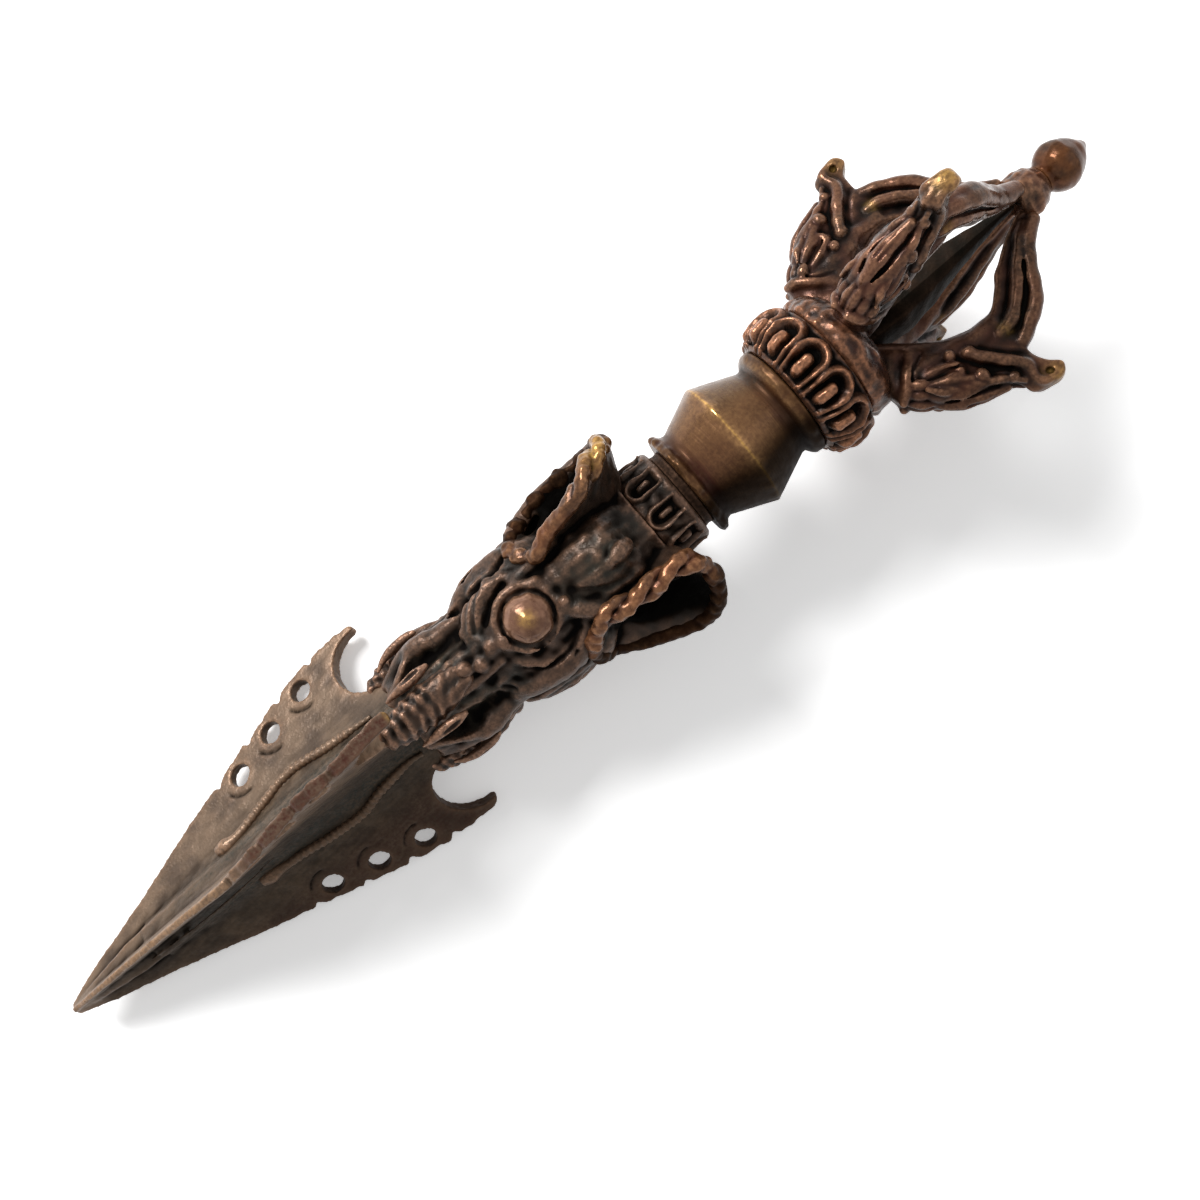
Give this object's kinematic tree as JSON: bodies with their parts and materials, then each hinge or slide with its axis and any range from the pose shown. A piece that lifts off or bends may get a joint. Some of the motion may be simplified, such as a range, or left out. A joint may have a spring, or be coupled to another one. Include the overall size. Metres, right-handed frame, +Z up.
{
  "type": "phurba",
  "caption": "Three-edged ritual dagger with pierced fins, a makara head with twisted loops, a turned grip and a crown of makara prongs.",
  "frame": {"origin": "on the table, under the middle of the dagger's bounding box as it lies at rest", "axes": "+X along the dagger from the blade's tip to the finial, which is lifted six degrees; +Z up; the front fin points up"},
  "size_m": [0.179, 0.0424, 0.0422],
  "materials": {
    "blade_bronze": "cast copper alloy, brown patina rubbed to dull copper on the edges",
    "relief_copper": "cast copper alloy, reddish where handling has worn the patina off",
    "dark_bronze": "cast copper alloy with a near-black greenish patina in the recesses",
    "turned_brass": "turned brass with fine turning lines under an olive-brown patina, bright on the ridge",
    "lotus_bronze": "cast copper alloy, copper-coloured bosses over dark recesses",
    "crown_bronze": "cast copper alloy, brown patina with brassy worn tips",
    "stud_copper": "turned copper alloy with faint rings and a worn brassy tip",
    "finial_bronze": "smooth warm brown copper alloy, golden where rubbed",
    "core_brass": "plain drawn rod, out of sight"
  },
  "bodies": {
    "root": {"blade": "blade_bronze", "serpent_1": "relief_copper", "serpent_2": "relief_copper", "serpent_3": "relief_copper", "core_rod": "core_brass", "makara_head": "dark_bronze", "trunk_1": "dark_bronze", "trunk_2": "dark_bronze", "trunk_3": "dark_bronze", "tusks": "relief_copper", "eye_stud_1": "stud_copper", "eye_stud_2": "stud_copper", "eye_stud_3": "stud_copper", "twisted_loop_1": "relief_copper", "twisted_loop_2": "relief_copper", "twisted_loop_3": "relief_copper", "lotus_collar": "dark_bronze", "neck_ring": "dark_bronze", "grip": "turned_brass", "lotus_cup": "lotus_bronze", "crown_base": "lotus_bronze", "crown_makara_1": "crown_bronze", "crown_makara_2": "crown_bronze", "crown_makara_3": "crown_bronze", "crown_makara_4": "crown_bronze", "central_prong": "dark_bronze", "top_collar": "crown_bronze", "finial": "finial_bronze"}
  },
  "joints": []
}
